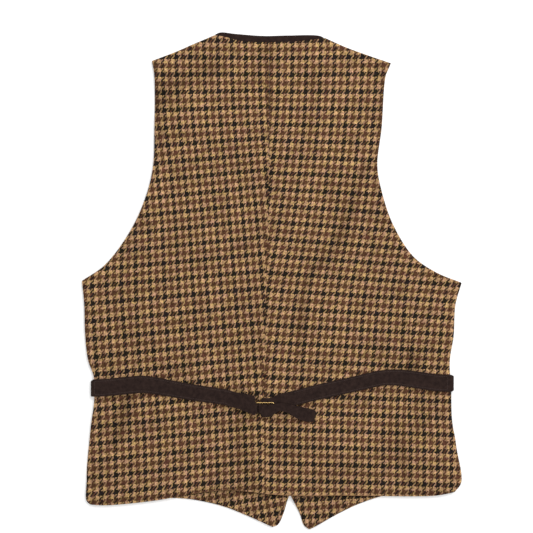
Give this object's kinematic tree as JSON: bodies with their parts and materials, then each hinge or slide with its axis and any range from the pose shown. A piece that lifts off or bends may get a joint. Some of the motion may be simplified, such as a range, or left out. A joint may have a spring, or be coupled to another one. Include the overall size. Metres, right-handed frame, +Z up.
{
  "type": "suit waistcoat",
  "caption": "Checked tweed suit waistcoat laid flat on its front, back up, with a suede neck band and a cinch strap with a brass buckle across the waist.",
  "frame": {"origin": "under the middle of the waistcoat's outline, on the surface it lies on", "axes": "+Y towards the neck, +X towards the wearer's right side, +Z up out of the back"},
  "size_m": [0.4941, 0.6464, 0.0157],
  "materials": {
    "tweed": "heavy wool tweed in a small check of camel, near-black and brown",
    "suede": "matt dark brown suede, edge-stitched",
    "brass": "dull brass wire",
    "horn": "dark brown polished horn"
  },
  "bodies": {
    "root": {"back_left": "tweed", "back_right": "tweed", "front_left": "tweed", "front_right": "tweed", "facing_left": "tweed", "facing_right": "tweed", "neck_band": "suede", "strap_left": "suede", "strap_right": "suede", "buckle": "brass", "button_1": "horn", "button_2": "horn", "button_3": "horn", "button_4": "horn", "button_5": "horn"}
  },
  "joints": []
}
